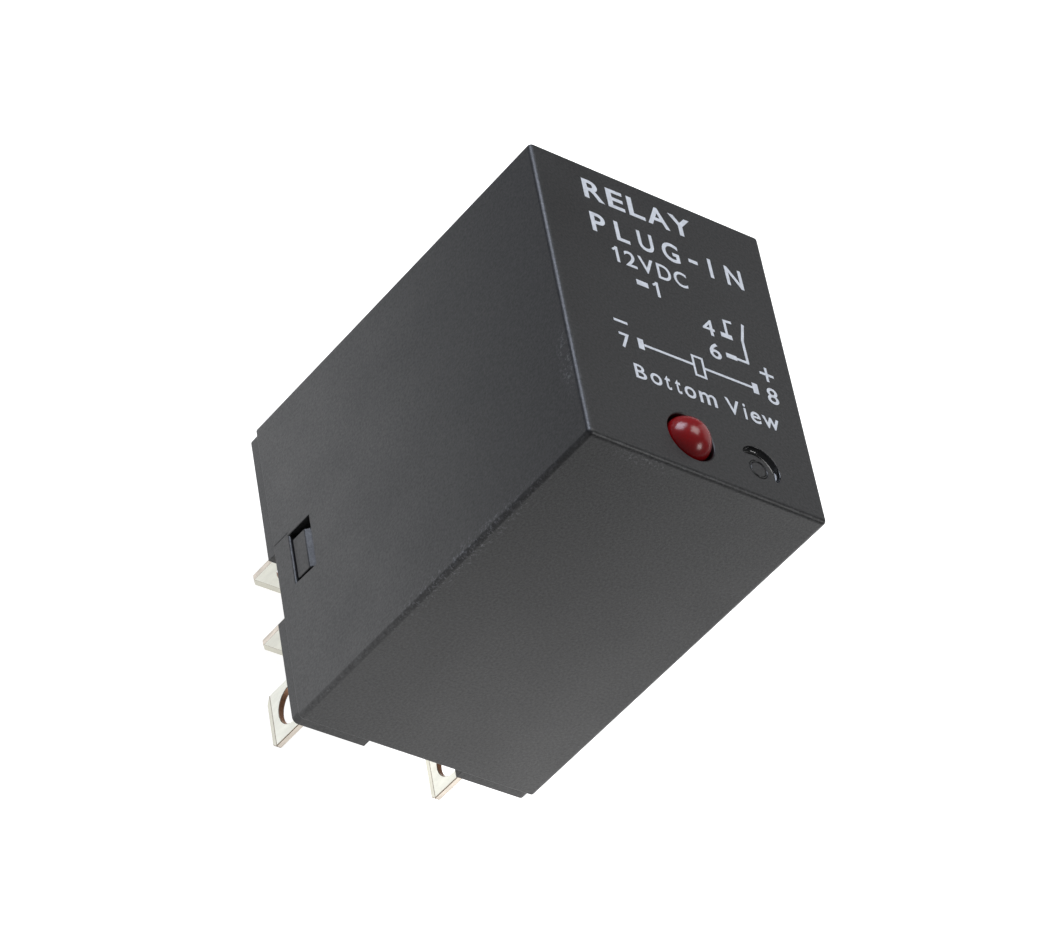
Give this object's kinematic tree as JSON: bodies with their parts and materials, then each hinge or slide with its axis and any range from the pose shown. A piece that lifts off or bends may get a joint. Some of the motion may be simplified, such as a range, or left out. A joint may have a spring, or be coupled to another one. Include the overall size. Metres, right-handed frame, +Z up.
{
  "type": "solid state relay",
  "caption": "Plug-in relay in a black moulded case: four flat blades below, red indicator and printed top, latched lift-off cover over a semiconductor switch and a small clapper contact.",
  "frame": {"origin": "centre of the relay's footprint on the plane of its feet, where it seats on its socket", "axes": "+Z up out of the socket to the printed top face; +X to the right of the printing and +Y to its top"},
  "size_m": [0.0216, 0.028, 0.0435],
  "materials": {
    "case_plastic": "fine moulded texture, half matt",
    "base_plastic": "half matt moulding",
    "tinned_blade": "pale tin plate on copper alloy",
    "circuit_board": "green solder mask on glass-epoxy",
    "barrier_sheet": "ivory insulating sheet",
    "indicator_red": "dark red clear epoxy",
    "tinned_wire": "bright tin",
    "black_epoxy": "black transfer-moulded epoxy",
    "tan_lacquer": "tan lacquer",
    "grey_ceramic": "grey cement lacquer",
    "blue_sleeve": "blue sleeve",
    "yellow_box": "yellow moulded box",
    "soft_iron": "zinc-plated soft iron",
    "bobbin_plastic": "cream glass-filled plastic",
    "enamelled_copper": "enamelled copper wire",
    "spring_copper": "rolled copper alloy",
    "contact_silver": "silver alloy",
    "heat_aluminium": "bead-blasted aluminium",
    "switch_metal": "nickel-plated copper",
    "pad_silicone": "grey silicone pad"
  },
  "bodies": {
    "relay_base": {"base": "base_plastic", "terminal_4": "tinned_blade", "terminal_6": "tinned_blade", "terminal_7": "tinned_blade", "terminal_8": "tinned_blade", "base_board": "circuit_board", "control_board": "circuit_board", "isolation_barrier": "barrier_sheet", "relay_block": "barrier_sheet", "indicator_dome": "indicator_red", "indicator_lead_left": "tinned_wire", "indicator_lead_right": "tinned_wire", "link_pin_left": "tinned_wire", "link_pin_middle": "tinned_wire", "link_pin_right": "tinned_wire", "switch_lead_left": "tinned_wire", "switch_lead_middle": "tinned_wire", "switch_lead_right": "tinned_wire", "optocoupler": "black_epoxy", "drive_transistor": "black_epoxy", "switch_body": "black_epoxy", "protection_diode": "black_epoxy", "input_resistor": "tan_lacquer", "snubber_resistor": "grey_ceramic", "input_capacitor": "blue_sleeve", "surge_disc": "blue_sleeve", "snubber_capacitor": "yellow_box", "yoke": "soft_iron", "core": "soft_iron", "clamp_screw": "soft_iron", "bobbin": "bobbin_plastic", "winding": "enamelled_copper", "fixed_contact_post": "spring_copper", "strap_4": "spring_copper", "strap_6": "spring_copper", "return_leaf": "spring_copper", "fixed_contact": "contact_silver", "heat_spreader": "heat_aluminium", "switch_tab": "switch_metal", "thermal_pad": "pad_silicone"},
    "cover": {"cover": "case_plastic"},
    "latch_left": {"latch_left": "base_plastic"},
    "latch_right": {"latch_right": "base_plastic"},
    "armature": {"armature": "soft_iron", "contact_spring": "spring_copper", "spring_rivet_left": "contact_silver", "spring_rivet_right": "contact_silver", "moving_contact": "contact_silver"}
  },
  "joints": [
    {"name": "cover_lift", "type": "slide", "parent": "relay_base", "child": "cover", "axis": [0, 0, 1], "range_m": [0, 0.038], "deforming": ["latch_left", "latch_right"]},
    {"name": "latch_left_press", "type": "hinge", "parent": "relay_base", "child": "latch_left", "pos_m": [-0.00925, -0.0006, 0.0083], "axis": [0, -1, 0], "range_deg": [0, 9], "stiffness_Nm_per_rad": 0.05},
    {"name": "latch_right_press", "type": "hinge", "parent": "relay_base", "child": "latch_right", "pos_m": [0.00925, -0.0006, 0.0083], "axis": [0, 1, 0], "range_deg": [0, 9], "stiffness_Nm_per_rad": 0.05},
    {"name": "armature_close", "type": "hinge", "parent": "relay_base", "child": "armature", "pos_m": [-0.007, 0.002, 0.0231], "axis": [0, 1, 0], "range_deg": [0, 3.5], "stiffness_Nm_per_rad": 0.02, "springref_deg": -1.72}
  ]
}
